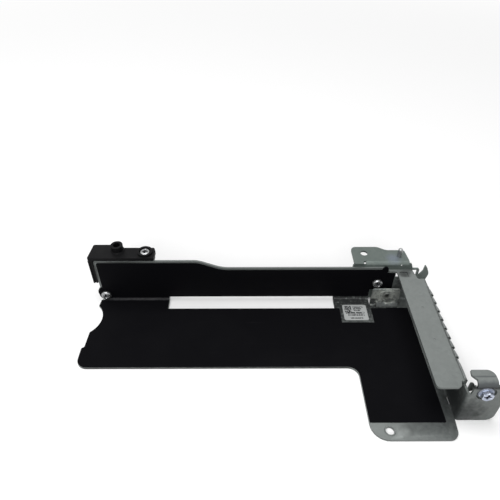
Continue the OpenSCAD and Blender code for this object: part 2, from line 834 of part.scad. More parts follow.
// ---------------------------------------------------------------------------
// Contact strip: spring fingers along the I/O wall, above the card window
// ---------------------------------------------------------------------------

strip_z = plate_z - 0.6;
finger_z = strip_z - finger_r;
strip_y = -tongue_gap - io_window_y - 2.9;
lug_y = -end_y + io_fold_out + 2;
lug_gap = 3.2;
rolled_end_min = 4;
fingers = floor((strip_y - lug_y - lug_gap - rolled_end_min) / finger_pitch);
strip_front = strip_y - fingers * finger_pitch;

// How far the curl of a finger goes on past its outermost line
finger_curl = 60;
// Height of the strip's unslit base
strip_base_h = 1.5;
lug_h = 5;
lug_drop = 2.7;

// One rolled finger: it leaves the strip's base, curls outwards and down, and seen from
// above it widens towards its front end
module finger(y0, y1) {
    r = finger_r - strip_t;
    reach = io_out + strip_t + finger_r;
    intersection() {
        stand_xz(y0, y1 - y0) translate([io_out + strip_t, finger_z]) {
            quarter_ring(r, strip_t, 0);
            quarter_ring(r, strip_t, -finger_curl);
            translate([-strip_t, -finger_r]) square([strip_t, 2 * finger_r]);
        }
        linear_extrude(plate_z)
            outline([[io_out - 1, y0, 0], [reach, y0, 0.9], [reach, y0 + (y1 - y0) * 0.45, 3],
                     [reach - 0.7, y1, 0.4], [io_out - 1, y1, 0]]);
    }
}

module contact_strip() {
    low = io_end_h - fold_lap;
    color("#a4aaa9") {
        translate([io_out, lug_y + lug_gap, low])
            cube([strip_t, strip_y - lug_y - lug_gap - finger_gap, strip_base_h]);
        for (i = [1:fingers])
            finger(strip_y - i * finger_pitch, strip_y - (i - 1) * finger_pitch - finger_gap);
        // plain rolled end in front of the fingers
        finger(lug_y + lug_gap, strip_front - finger_gap);
        // low stretch of the strip, and the upright lug at its front end
        translate([io_out, lug_y, io_end_h - lug_drop])
            cube([strip_t, lug_gap + 2, lug_drop]);
        stand_xz(lug_y, 2 * strip_t)
            outline([[io_out, io_end_h - lug_drop, 0],
                     [io_out + 2.2, io_end_h - lug_drop, 0.8], [io_out + 2.6, io_end_h, 1],
                     [io_out + 1.2, io_end_h + lug_h - 1.4, 0.8],
                     [io_out, io_end_h + lug_h, 0.4]]);
    }
}

// ---------------------------------------------------------------------------
// Corner guide: black moulding over the wall's upper left corner
// ---------------------------------------------------------------------------

guide_front = wall_y + 0.3;
guide_leg_d = 9;
post_x = guide_x + 17.2;
post_y = guide_front + 7.6;
guide_seat_z = guide_z - 0.9;

module corner_guide() {
    color("#262628") difference() {
        union() {
            // deck over the wall's top edge
            translate([0, 0, wall_h]) linear_extrude(guide_z - wall_h)
                outline([[guide_x, guide_front, 0.6], [guide_end - 0.4, guide_front, 0.8],
                         [guide_end, guide_d - 3, 3], [guide_end - 1.2, guide_d, 0.8],
                         [post_x + post_d / 2 - 0.6, guide_d, 0],
                         [post_x + post_d / 2 - 2, guide_deep, 1],
                         [guide_x + 1.2, guide_deep, 1]], 5);
            // leg down the wall's left edge, with a shallow groove in its face
            translate([guide_x, guide_front, guide_leg_z])
                cube([guide_leg_t, guide_leg_d, wall_h - guide_leg_z + EPS]);
            // rib behind the wall
            translate([guide_x + guide_leg_t, wall_back + 0.2, wall_h - 6])
                cube([24, 1.8, 6 + EPS]);
            // hollow post
            translate([post_x, post_y, guide_z - EPS]) cylinder(d = post_d, h = post_h + EPS);
            translate([post_x, post_y, guide_z - EPS])
                cylinder(d1 = post_d + 1.2, d2 = post_d, h = 0.8);
            // collar over the deck and boss under it, for the screw
            translate([guide_screw_x, guide_screw_y, guide_z - EPS])
                cylinder(d = collar_d, h = collar_h + EPS);
            translate([guide_screw_x, guide_screw_y, ledge_z])
                cylinder(d = 6.2, h = wall_h - ledge_z + EPS);
        }
        translate([post_x, post_y, guide_z + post_h - post_bore_l])
            cylinder(d = post_bore_d, h = post_bore_l + 1);
        translate([guide_screw_x, guide_screw_y, ledge_z - 1])
            cylinder(d = screw_d + 2 * hole_gap, h = FAR);
        translate([guide_screw_x, guide_screw_y, guide_seat_z])
            cylinder(d = head_d + 0.6, h = FAR);
        translate([guide_x + 0.9, guide_front - EPS, guide_leg_z - 1])
            cube([guide_leg_t - 1.7, 0.4, wall_h - guide_leg_z]);
    }
}

// ---------------------------------------------------------------------------
// Screws and clinch nuts
// ---------------------------------------------------------------------------

// Cross recess, cut down into a head whose top is at z = 0
module cross_recess(size, depth) {
    for (a = [0, 90]) rotate(a) translate([-size / 2, -0.35, -depth]) cube([size, 0.7, depth + 1]);
    translate([0, 0, -depth]) cylinder(d1 = size * 0.25, d2 = size * 0.55, h = depth + EPS);
}

// Pan-head screw: its seat at z = 0, head up, shaft down
module pan_screw(shaft) {
    dome = head_h * 0.55;
    difference() {
        union() {
            translate([0, 0, -shaft]) cylinder(d = screw_d, h = shaft + EPS);
            rotate_extrude() polygon(concat(
                [[0, 0], [head_d / 2, 0]],
                [for (i = [0:6]) [head_d / 2 - dome * (1 - cos(i * 15)),
                                  head_h - dome + dome * sin(i * 15)]],
                [[0, head_h]]));
        }
        translate([0, 0, head_h]) cross_recess(3.6, 1.3);
    }
}

// Hexagon washer-head screw with a cross recess
module washer_screw(shaft) {
    washer_d = 8.2;
    washer_h = 0.9;
    hex_d = 6.2;
    top = washer_h + 2.2;
    difference() {
        union() {
            translate([0, 0, -shaft]) cylinder(d = slot_d, h = shaft + EPS);
            cylinder(d1 = washer_d, d2 = washer_d - 0.5, h = washer_h);
            intersection() {
                cylinder(d = hex_d, h = top, $fn = 6);
                cylinder(d1 = hex_d + 2.4, d2 = hex_d - 0.6, h = top);
            }
        }
        translate([0, 0, top]) cross_recess(3.8, 1.3);
    }
}

// Clinch nut: the sheet's far face at z = 0, body down, shank up in the sheet
module clinch_nut(thread, shank, depth) {
    difference() {
        union() {
            translate([0, 0, -nut_h]) cylinder(d = nut_d, h = nut_h);
            translate([0, 0, -EPS]) cylinder(d = shank, h = depth + EPS);
        }
        translate([0, 0, -nut_h - 1]) cylinder(d = thread + 2 * thread_gap, h = FAR);
    }
}

slot_nut_shank_d = nut_shank_d + 0.6;
nut_shank_l = sheet_t - 0.2;
left_shaft = wall_back + nut_h + 0.8;
right_shaft = wall_back + sheet_t + nut_h + 0.8;
guide_shaft = guide_seat_z - ledge_z + sheet_t + nut_h + 0.8;

module guide_screw() {
    color("#b8bcbc") translate([guide_screw_x, guide_screw_y, guide_seat_z]) rotate(guide_turn)
        pan_screw(guide_shaft);
}

module guide_nut() {
    color("#9a9f9f") translate([guide_screw_x, guide_screw_y, ledge_z - sheet_t])
        clinch_nut(screw_d, nut_shank_d, nut_shank_l);
}

// How far each screw is turned in its seat
guide_turn = 20;
left_turn = 15;
right_turn = 40;
slot_turn = 12;

// Screws in the wall point backwards: their heads are on the film
module board_screw(place, shaft, turn) {
    color("#b4b8b8") translate([place[0], 0, place[1]]) rotate([90, 0, 0]) rotate(turn)
        pan_screw(shaft);
}

module board_nut(place, back) {
    color("#9a9f9f") translate([place[0], back, place[1]]) rotate([90, 0, 0])
        clinch_nut(screw_d, nut_shank_d, nut_shank_l);
}

module slot_screw() {
    seat = -end_y + seat_depth;
    color("#aeb6c0") translate([slot_x, seat, slot_z]) rotate([90, 0, 0]) rotate(slot_turn)
        washer_screw(sheet_t + nut_h + 1.6);
}

module slot_nut() {
    color("#9a9f9f") translate([slot_x, -end_y + seat_depth + sheet_t, slot_z])
        rotate([90, 0, 0]) clinch_nut(slot_d, slot_nut_shank_d, nut_shank_l);
}

// ---------------------------------------------------------------------------
// Whole part, set with its origin under the middle of its box
// ---------------------------------------------------------------------------

module placed() {
    translate([-box_right / 2, (foot_d - box_back) / 2, 0]) children();
}

placed() tray();
placed() insulator_film();
placed() label();
placed() rear_bracket();
placed() bracket_rivet(rivet_left);  // bracket_rivet_left
placed() bracket_rivet(rivet_middle);  // bracket_rivet_middle
placed() bracket_rivet(rivet_right);  // bracket_rivet_right
placed() guide_pin();
placed() contact_strip();
placed() corner_guide();
placed() guide_screw();
placed() guide_nut();
placed() board_screw(left_screw, left_shaft, left_turn);  // board_screw_left
placed() board_screw(right_screw, right_shaft, right_turn);  // board_screw_right
placed() board_nut(left_screw, wall_back);  // board_nut_left
placed() board_nut(right_screw, wall_back + sheet_t);  // board_nut_right
placed() slot_screw();
placed() slot_nut();
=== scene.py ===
import json
import math
import bpy
import bmesh
import numpy as np
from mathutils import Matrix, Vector


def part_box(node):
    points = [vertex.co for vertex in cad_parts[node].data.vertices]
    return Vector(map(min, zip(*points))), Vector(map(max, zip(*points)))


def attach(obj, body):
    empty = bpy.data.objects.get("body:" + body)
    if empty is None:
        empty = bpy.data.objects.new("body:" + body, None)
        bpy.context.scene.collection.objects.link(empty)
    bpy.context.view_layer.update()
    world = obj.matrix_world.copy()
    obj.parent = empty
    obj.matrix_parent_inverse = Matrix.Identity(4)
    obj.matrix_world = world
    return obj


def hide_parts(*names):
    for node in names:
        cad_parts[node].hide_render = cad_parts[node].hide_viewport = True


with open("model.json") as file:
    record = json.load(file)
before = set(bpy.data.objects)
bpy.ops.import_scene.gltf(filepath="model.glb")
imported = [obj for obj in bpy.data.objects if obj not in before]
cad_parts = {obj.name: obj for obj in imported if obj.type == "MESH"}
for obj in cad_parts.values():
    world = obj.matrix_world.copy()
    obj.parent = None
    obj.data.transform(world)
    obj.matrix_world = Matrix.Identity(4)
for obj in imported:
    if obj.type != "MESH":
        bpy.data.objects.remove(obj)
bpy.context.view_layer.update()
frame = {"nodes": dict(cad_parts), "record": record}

# ---------------------------------------------------------------------------------------
# Sheet tray. One blank of 1.2 mm hot-dip galvanised steel, punched and folded: floor, rear
# wall, screw tab, I/O wall, top plate, end plate and hook. Its punched edges are broken by
# about a tenth of a millimetre, and the zinc has faint spangle, rolling haze, hairline
# scratches, a few dark patches, and painted shade and painted light on bends, recesses and faces.
# ---------------------------------------------------------------------------------------


def softened(node, name, width, steps=2):
    """Copy of a CAD node with its sharp edges rounded: loose triangles are merged, flat
    faces joined, and every edge that turns by more than 35 degrees gets a small round."""
    sharp, level, touching = math.radians(35), math.radians(0.6), 2e-6
    source = frame["nodes"][node]
    mesh = source.data.copy()
    mesh.name = name
    mesh.materials.clear()
    work = bmesh.new()
    work.from_mesh(mesh)
    bmesh.ops.remove_doubles(work, verts=work.verts, dist=touching)
    bmesh.ops.dissolve_limit(work, angle_limit=level, verts=work.verts, edges=work.edges)
    work.to_mesh(mesh)
    work.free()
    if "custom_normal" in mesh.attributes:
        mesh.attributes.remove(mesh.attributes["custom_normal"])
    mesh.shade_smooth()
    mesh.set_sharp_from_angle(angle=sharp)
    piece = bpy.data.objects.new(name, mesh)
    bpy.context.scene.collection.objects.link(piece)
    round_edges = piece.modifiers.new("broken edges", "BEVEL")
    round_edges.width = width
    round_edges.segments = steps
    round_edges.limit_method = "ANGLE"
    round_edges.angle_limit = sharp
    round_edges.harden_normals = True
    round_edges.use_clamp_overlap = True
    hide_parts(node)
    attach(piece, "root")
    return piece


class Finish:
    """A node material in the making: add() places a node, wire() joins two sockets."""

    def __init__(self, name, **sockets):
        self.material = bpy.data.materials.new(name)
        self.material.use_nodes = True
        self.tree = self.material.node_tree
        self.shader = self.tree.nodes["Principled BSDF"]
        for socket, value in sockets.items():
            self.shader.inputs[socket.replace("_", " ")].default_value = value
        self.place = self.add("ShaderNodeTexCoord").outputs["Object"]

    def add(self, kind, settings=None, **sockets):
        made = self.tree.nodes.new(kind)
        for key, value in (settings or {}).items():
            setattr(made, key, value)
        for socket, value in sockets.items():
            target = made.inputs[socket.replace("_", " ")]
            if isinstance(value, bpy.types.NodeSocket):
                self.tree.links.new(value, target)
            else:
                target.default_value = value
        return made

    def wire(self, out, socket):
        self.tree.links.new(out, self.shader.inputs[socket])

    def noise(self, scale, detail=3.0, rough=0.5, stretch=(1, 1, 1)):
        """Cloudy value from 0 to 1 over the piece; scale counts lumps per metre."""
        moved = self.add("ShaderNodeMapping", Vector=self.place, Scale=stretch)
        return self.add("ShaderNodeTexNoise", Vector=moved.outputs["Vector"], Scale=scale,
                        Detail=detail, Roughness=rough).outputs["Fac"]

    def remap(self, value, low, high, to_low, to_high):
        """Straight-line change of a value's range, held at both ends."""
        made = self.add("ShaderNodeMapRange")
        self.tree.links.new(value, made.inputs["Value"])
        for key, number in zip(("From Min", "From Max", "To Min", "To Max"),
                               (low, high, to_low, to_high)):
            made.inputs[key].default_value = number
        return made.outputs["Result"]

    def maths(self, operation, one, two):
        made = self.add("ShaderNodeMath", {"operation": operation})
        for slot, value in enumerate((one, two)):
            if isinstance(value, bpy.types.NodeSocket):
                self.tree.links.new(value, made.inputs[slot])
            else:
                made.inputs[slot].default_value = value
        return made.outputs[0]

    def blend(self, factor, one, two):
        """Colour between two colours, by a factor from 0 to 1."""
        made = self.add("ShaderNodeMix", {"data_type": "RGBA"})
        if isinstance(factor, bpy.types.NodeSocket):
            self.tree.links.new(factor, made.inputs[0])
        else:
            made.inputs[0].default_value = factor
        for slot, value in ((6, one), (7, two)):
            if isinstance(value, bpy.types.NodeSocket):
                self.tree.links.new(value, made.inputs[slot])
            else:
                made.inputs[slot].default_value = (*value, 1)
        return made.outputs[2]

    def near(self, centre, radius, flat=(1, 1, 1)):
        """1 at a place on the piece, falling to 0 at the radius, with a ragged edge; flat
        shrinks the distance along an axis, so that the mark is long that way."""
        cloud = self.add("ShaderNodeTexNoise", Vector=self.place, Scale=420.0, Detail=2.0)
        ragged = self.add("ShaderNodeVectorMath", {"operation": "SCALE"})
        self.tree.links.new(cloud.outputs["Color"], ragged.inputs[0])
        ragged.inputs["Scale"].default_value = radius * 0.7
        moved = self.add("ShaderNodeVectorMath", {"operation": "ADD"})
        self.tree.links.new(self.place, moved.inputs[0])
        self.tree.links.new(ragged.outputs[0], moved.inputs[1])
        gap = self.add("ShaderNodeVectorMath", {"operation": "SUBTRACT"})
        self.tree.links.new(moved.outputs[0], gap.inputs[0])
        gap.inputs[1].default_value = [c + radius * 0.35 for c in centre]
        shrunk = self.add("ShaderNodeVectorMath", {"operation": "MULTIPLY"})
        self.tree.links.new(gap.outputs[0], shrunk.inputs[0])
        shrunk.inputs[1].default_value = flat
        reach = self.add("ShaderNodeVectorMath", {"operation": "LENGTH"})
        self.tree.links.new(shrunk.outputs[0], reach.inputs[0])
        return self.remap(reach.outputs["Value"], radius * 0.3, radius, 1.0, 0.0)

    def bump(self, height, strength, depth):
        made = self.add("ShaderNodeBump", Strength=strength, Distance=depth)
        self.tree.links.new(height, made.inputs["Height"])
        self.wire(made.outputs["Normal"], "Normal")


def galvanised(name, dark, light, marks):
    """Zinc-coated sheet: flat grey cells of spangle, soft rolling haze along X, fine grain,
    hairline scratches and the given marks, which are laid on in their order."""
    zinc = Finish(name, Metallic=0.32, Specular_IOR_Level=0.35)
    cells = zinc.add("ShaderNodeTexVoronoi", Vector=zinc.place, Scale=560.0)
    spangle = zinc.remap(cells.outputs["Color"], 0.0, 1.0, 0.0, 1.0)
    haze = zinc.noise(26.0, 4.0, 0.55)
    streak = zinc.noise(90.0, 3.0, 0.6, (0.15, 1, 1))
    tone = zinc.maths("ADD", zinc.maths("MULTIPLY", spangle, 0.24),
                      zinc.maths("ADD", zinc.maths("MULTIPLY", haze, 0.56),
                                 zinc.maths("MULTIPLY", streak, 0.2)))
    colour = zinc.blend(zinc.remap(tone, 0.25, 0.75, 0.0, 1.0), dark, light)
    hair = zinc.remap(zinc.noise(240.0, 2.0, 0.5, (0.25, 5, 5)), 0.72, 0.78, 0.0, 0.22)
    colour = zinc.blend(hair, colour, tuple(1.4 * c for c in light))
    rough = zinc.remap(tone, 0.2, 0.8, 0.42, 0.32)
    # the marks carry dark patches, the bracket's stain, and painted shade and painted light
    for centre, radius, strength, flat, tint in marks:
        stain_and_shade = zinc.maths("MULTIPLY", zinc.near(centre, radius, flat), strength)
        colour = zinc.blend(stain_and_shade, colour, tint)
        rough = zinc.maths("ADD", rough, zinc.maths("MULTIPLY", stain_and_shade, 0.15))
    zinc.wire(colour, "Base Color")
    zinc.wire(rough, "Roughness")
    grain = zinc.maths("ADD", zinc.noise(2600.0, 2.0), zinc.maths("MULTIPLY", spangle, 0.2))
    zinc.bump(grain, 0.10, 0.00004)
    return zinc.material


def beside(node, x, y, z):
    """Place on the part, measured in metres from the middle of a CAD node's box."""
    low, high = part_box(node)
    return [(a + b) / 2 + step for a, b, step in zip(low, high, (x, y, z))]


def by_mount(name, x, y, z):
    """Place on the part, measured in metres from one of the record's mounts."""
    mount = next(one for one in frame["record"]["mounts"] if one["name"] == name)
    return [a + step for a, step in zip(mount["pos_m"], (x, y, z))]


# a dark colour for dark patches and for painted shade, and a flat factor that keeps a mark round
patch_and_shade_colour, even = (0.018, 0.019, 0.018), (1, 1, 1)
# each mark: centre, radius, strength, how much each axis is shrunk, colour
tray_marks = [
    # two dark patches on the end plate
    (beside("slot_screw", 0.00045, -0.0020, -0.0187), 0.0034, 0.80, even, patch_and_shade_colour),
    (beside("slot_screw", 0.00265, -0.0020, -0.0134), 0.0028, 0.45, even, patch_and_shade_colour),
    # painted shade in the pressed pocket
    (beside("bracket_rivet_middle", 0.00645, -0.00495, 0.0058), 0.0036, 0.75, (0.7, 1, 1), patch_and_shade_colour),
    # painted shade on the bend under the contact strip's slits
    (beside("contact_strip", -0.001735, 0.00105, 0.00119), 0.0017, 1.00, (1, 0.03, 1),
     (0.004, 0.004, 0.004)),
    # painted shade on the hook's crease line, the end plate's middle and the hook's bend, and a
    # painted shadow under the joggle
    (beside("slot_screw", -0.00125, 0.0021, 0.0086), 0.0007, 0.70, (0.05, 1, 1),
     (0.060, 0.066, 0.070)),
    (beside("slot_screw", 0.00025, -0.0020, -0.0110), 0.0240, 0.35, even, (0.085, 0.095, 0.088)),
    (beside("slot_screw", -0.00125, -0.0022, 0.0072), 0.0030, 0.90, (0.10, 1, 1),
     (0.062, 0.068, 0.072)),
    (beside("slot_screw", -0.00125, -0.0022, 0.0049), 0.0017, 1.00, (0.10, 0.7, 1),
     (0.005, 0.005, 0.006)),
    # painted light on the tab's front face, and the face darker round its thread
    (by_mount("tab_thread", 0, -0.0003, -0.0011), 0.0120, 0.90, (0.9, 6, 1.2),
     (0.440, 0.460, 0.420)),
    (by_mount("tab_thread", 0, -0.0003, 0), 0.0036, 1.00, even, (0.030, 0.033, 0.030)),
    # painted shadow of the wall over the bare bay round the label
    (beside("label", -0.0038, 0.0041, -0.00006), 0.0300, 1.00, (0.6, 1, 4),
     (0.022, 0.024, 0.024)),
    # painted shade at the pressed ring beside the foot's hole: a dark disc with a lighter one on
    # it, leaving a dark rim
    (by_mount("foot_hole", 0.00825, -0.00045, 0.00035), 0.0044, 0.80, even,
     (0.060, 0.066, 0.064)),
    (by_mount("foot_hole", 0.00825, -0.00045, 0.00035), 0.0032, 0.95, even,
     (0.185, 0.200, 0.193)),
    # painted shade on the wall's right end, the foot's right corner and the I/O wall's inner side
    (beside("board_screw_right", 0.01735, -0.00195, 0.0023), 0.0110, 0.90, (1.2, 3, 0.8),
     (0.030, 0.033, 0.033)),
    (by_mount("foot_hole", 0.03025, 0.01195, 0.00035), 0.0240, 0.70, even,
     (0.050, 0.055, 0.056)),
    (beside("contact_strip", -0.002835, -0.02395, -0.01521), 0.0150, 0.95, (1, 0.45, 1.1),
     (0.020, 0.023, 0.023)),
    # painted shade on the cut edges where wall meets guide, and the arm's front edge darkened
    (beside("board_screw_left", -0.00265, -0.00115, 0.0202), 0.0012, 0.75, (1, 1, 0.10), patch_and_shade_colour),
    (beside("board_screw_left", 0.01315, -0.00115, 0.0273), 0.0012, 0.75, (0.05, 1, 1), patch_and_shade_colour),
    (beside("label", 0, -0.04125, -0.00066), 0.00075, 1.00, (0, 1, 1), patch_and_shade_colour)]

broken_edge = 0.00012
tray = softened("tray", "sheet_tray", broken_edge)
tray.data.materials.append(galvanised(
    "galvanised tray", (0.147, 0.161, 0.156), (0.197, 0.213, 0.206), tray_marks))

# ---------------------------------------------------------------------------------------
# Rear bracket. A second galvanised sheet, folded once into leg and flange and riveted
# behind the wall. It comes from another coil, a little greener than the tray.
# ---------------------------------------------------------------------------------------
stain_and_shade = (beside("guide_pin", -0.00405, -0.00205, -0.0023), 0.0056, 0.70, even,
         (0.150, 0.175, 0.215))
bracket = softened("rear_bracket", "rear_bracket_sheet", broken_edge)
bracket.data.materials.append(galvanised(
    "galvanised bracket", (0.095, 0.117, 0.108), (0.137, 0.161, 0.149), [stain_and_shade]))

# ---------------------------------------------------------------------------------------
# Insulating film. Black polypropylene sheet, die cut, creased once along the wall's foot and
# glued down over floor and wall. Its skin is finely matted, with faint rubs and dust, and a
# painted highlight runs along its crease.
# ---------------------------------------------------------------------------------------
film_low, film_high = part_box("insulator_film")
crease_line = (0, film_high.y - 0.00105, film_low.z + 0.0009)
film_finish = Finish("matted black film", Specular_IOR_Level=0.035)
rubs = film_finish.remap(film_finish.noise(18.0, 5.0, 0.6), 0.45, 0.75, 0.0, 1.0)
scuffs = film_finish.remap(film_finish.noise(130.0, 3.0, 0.55, (0.3, 4, 4)), 0.68, 0.80, 0.0, 0.4)
shade = film_finish.blend(rubs, (0.0020, 0.0020, 0.0027), (0.0030, 0.0030, 0.0038))
shade = film_finish.blend(scuffs, shade, (0.011, 0.011, 0.012))
# painted highlight along the crease
crease_highlight = film_finish.maths("MULTIPLY", film_finish.near(crease_line, 0.0011, (0, 1, 1)), 0.9)
film_finish.wire(film_finish.blend(crease_highlight, shade, (0.050, 0.050, 0.053)), "Base Color")
film_finish.wire(film_finish.remap(rubs, 0.0, 1.0, 0.66, 0.54), "Roughness")
ripple = film_finish.maths("MULTIPLY", film_finish.noise(26.0, 2.0), 6.0)
film_finish.bump(film_finish.maths("ADD", film_finish.noise(1900.0, 2.0), ripple), 0.2, 0.00006)
film = softened("insulator_film", "insulating_film", 0.00006)
film.data.materials.append(film_finish.material)

# ---------------------------------------------------------------------------------------
# Label. Matt grey-white paper label with round corners, pressed onto the bare bay. Its print
# is generic: a block of square cells and a few grey bars where lines of print would be.
# ---------------------------------------------------------------------------------------
label_low, label_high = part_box("label")
paper = Finish("printed label", Roughness=0.62, Specular_IOR_Level=0.3)
spread = paper.add("ShaderNodeSeparateXYZ", Vector=paper.place)


def along_label(axis, low, high):
    """Position across the label from 0 at its low edge to 1 at its high edge."""
    return paper.remap(spread.outputs[axis], low, high, 0.0, 1.0)


across = along_label("X", label_low.x, label_high.x)
upward = along_label("Y", label_low.y, label_high.y)


def between(value, low, high):
    """1 inside a band and 0 outside it."""
    return paper.maths("MULTIPLY", paper.maths("GREATER_THAN", value, low),
                       paper.maths("LESS_THAN", value, high))


def patch(x0, x1, y0, y1):
    """1 inside a rectangle of the label, given in parts of its length and width."""
    return paper.maths("MULTIPLY", between(across, x0, x1), between(upward, y0, y1))


def inked(step_x, step_y, white_share):
    """Chance pattern of printed and white cells, step_x by step_y metres each."""
    cell = paper.add("ShaderNodeVectorMath", {"operation": "SNAP"}, Vector=paper.place)
    cell.inputs[1].default_value = (step_x, step_y, 1.0)
    chance = paper.add("ShaderNodeTexWhiteNoise", {"noise_dimensions": "2D"},
                       Vector=cell.outputs["Vector"])
    return paper.maths("GREATER_THAN", chance.outputs["Value"], white_share)


ink = paper.maths("MULTIPLY", inked(0.00042, 0.00042, 0.30), patch(0.07, 0.36, 0.50, 0.93))
letters = inked(0.00035, 0.0009, 0.22)
# each bar: left, right, low and high in parts of the label, and how dark it is
for x0, x1, y0, y1, weight in ((0.42, 0.86, 0.80, 0.88, 0.9), (0.42, 0.78, 0.69, 0.77, 0.9),
                               (0.42, 0.72, 0.58, 0.66, 0.9), (0.10, 0.88, 0.41, 0.52, 1.0),
                               (0.18, 0.86, 0.28, 0.37, 0.95), (0.25, 0.78, 0.09, 0.17, 0.85)):
    stroke = paper.maths("MULTIPLY", patch(x0, x1, y0, y1), letters)
    ink = paper.maths("MAXIMUM", ink, paper.maths("MULTIPLY", stroke, weight))
aged = paper.blend(paper.noise(160.0, 4.0), (0.30, 0.312, 0.308), (0.38, 0.392, 0.388))
paper.wire(paper.blend(ink, aged, (0.020, 0.021, 0.023)), "Base Color")
paper.bump(paper.noise(1500.0, 3.0), 0.15, 0.00003)
label = softened("label", "bay_label", 0.00003, 1)
label.data.materials.append(paper.material)

# ---------------------------------------------------------------------------------------
# Contact strip. Thin spring steel, wrapped over the I/O wall's upper bend and slit into
# fingers that bulge outwards to press on the chassis. It ends in an upright lug.
# ---------------------------------------------------------------------------------------
strip_low, strip_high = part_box("contact_strip")
# the fold that the strip wraps: its axis, the strip's outer radius, and the stretch it covers
bend_x, bend_z = strip_low.x - 0.0016, strip_high.z - 0.00342
wrap_r, wrap_from, wrap_to = 0.00182, math.radians(20), math.radians(90)
strip_thick, strip_drop = 0.0002, 0.0048
finger_count, finger_pitch = 8, 0.00635
# a slit between two fingers, and the hole punched at its upper end
slit, slit_top, slit_foot = 0.0004, 0.0004, 0.0040
punch, punch_down = 0.0016, 0.0008
bulge_top, bulge_span, finger_bulge, end_bulge = 0.0003, 0.0032, 0.00100, 0.00055


def strip_section(y, down, bulge):
    """Points of the strip, one row a step down its section and one column a place along it.
    The section turns over the bend on a radius and then drops straight; the bulge is added
    across it as the square of a sine that peaks near the bend's end."""
    turn_end = wrap_r * (wrap_to - wrap_from)
    angle = wrap_from + np.minimum(down, turn_end) / wrap_r
    drop = np.maximum(down - turn_end, 0)
    phase = np.pi * np.clip((down - bulge_top) / bulge_span, 0, 1)
    lift = bulge[None] * np.sin(phase)[:, None] ** 2
    x = bend_x + (wrap_r + lift) * np.sin(angle)[:, None]
    z = bend_z + (wrap_r + lift) * np.cos(angle)[:, None] - drop[:, None]
    return np.stack([x, np.broadcast_to(y, x.shape), z], -1)


def grid_faces(rows, columns, keep):
    """Quads of a grid, facing out of the wall, without the cells that keep leaves out."""
    number = np.arange(rows * columns).reshape(rows, columns)
    quads = np.stack([number[:-1, :-1], number[:-1, 1:], number[1:, 1:], number[1:, :-1]], -1)
    return quads[keep]


# places across one finger, from its rear edge at 0 to its front edge at 1
along = np.concatenate([np.linspace(0, 0.06, 3), np.linspace(0.1, 0.9, 9),
                        np.linspace(0.94, 1, 3)])
finger_back = strip_high.y - 0.0003 - np.arange(finger_count) * finger_pitch
length = finger_pitch - slit
columns = (finger_back[:, None] - slit / 2 - along[None] * length).ravel()
# a finger bulges more towards its front edge and falls back over its last 7 %
swell = finger_bulge * along ** 0.7 * np.sqrt(np.clip((1 - along) / 0.07, 0, 1))
rear_end = finger_back[0] + slit / 2 + np.array([0.0010, 0.0006, 0.0003, 0.0])
plain_end = np.linspace(columns[-1] - slit, strip_low.y + 0.0032, 9)
columns = np.concatenate([rear_end, columns, plain_end])
bulges = np.concatenate([np.zeros(len(rear_end)), np.tile(swell, finger_count),
                         end_bulge * np.minimum(np.linspace(0, 3, len(plain_end)), 1)])
down = np.concatenate([np.linspace(0, 0.0012, 9), np.linspace(0.0014, strip_drop, 18)])
across_mid, down_mid = (columns[1:] + columns[:-1]) / 2, (down[1:] + down[:-1]) / 2
from_slit = np.abs(across_mid[None] - finger_back[:, None]).min(0)
from_slit = np.minimum(from_slit, np.abs(across_mid - plain_end[0] - slit / 2))
open_slit = ((from_slit[None] < slit / 2) & (down_mid[:, None] > slit_top)
             & (down_mid[:, None] < slit_foot))
open_hole = np.hypot(from_slit[None], down_mid[:, None] - punch_down) < punch / 2
points = strip_section(columns, down, bulges)
faces = grid_faces(len(down), len(columns), ~(open_slit | open_hole))
# a narrow band below, which carries the lug
lug_y = strip_low.y
band_y = np.linspace(lug_y + 0.0052, lug_y + 0.0003, 4)
band_down = np.array([0.0036, 0.0050, 0.0066])
band = strip_section(band_y, band_down, np.zeros(4))
band[..., 2] -= 0.0002
band_faces = grid_faces(3, 4, np.ones((2, 3), bool)) + points[..., 0].size
faces = np.concatenate([faces, band_faces])
points = np.concatenate([points.reshape(-1, 3), band.reshape(-1, 3)])
strip_mesh = bpy.data.meshes.new("spring_contacts")
strip_mesh.from_pydata(points.tolist(), [], faces.tolist())
work = bmesh.new()
work.from_mesh(strip_mesh)
bmesh.ops.delete(work, geom=[v for v in work.verts if not v.link_faces], context="VERTS")
work.to_mesh(strip_mesh)
work.free()
strip_mesh.shade_smooth()
strip = bpy.data.objects.new("spring_contacts", strip_mesh)
bpy.context.scene.collection.objects.link(strip)
thickness = strip.modifiers.new("sheet thickness", "SOLIDIFY")
thickness.thickness = strip_thick
thickness.offset = -1.0

# the lug's outline, across and up from the strip's lower front corner
lug_line = np.array([[0, 0], [0.0020, 0], [0.0024, 0.0003], [0.0031, 0.0022], [0.0032, 0.0040],
                     [0.0022, 0.0061], [0.0014, 0.0070], [0.0003, 0.0073], [0, 0.0070]])
lug_points, lug_thick = len(lug_line), 0.0005
near_side = np.stack([strip_low.x + lug_line[:, 0], np.full(lug_points, lug_y),
                      strip_low.z + lug_line[:, 1]], -1)
far_side = near_side + (0, lug_thick, 0)
ring = np.arange(lug_points)
following = (ring + 1) % lug_points
walls = np.stack([ring, ring + lug_points, following + lug_points, following], -1)
lug_mesh = bpy.data.meshes.new("contact_lug")
lug_mesh.from_pydata(np.concatenate([near_side, far_side]).tolist(), [],
                     walls.tolist() + [ring.tolist(), (ring[::-1] + lug_points).tolist()])
lug = bpy.data.objects.new("contact_lug", lug_mesh)
bpy.context.scene.collection.objects.link(lug)
broken = lug.modifiers.new("broken edges", "BEVEL")
broken.width = 0.00006
broken.segments = 1

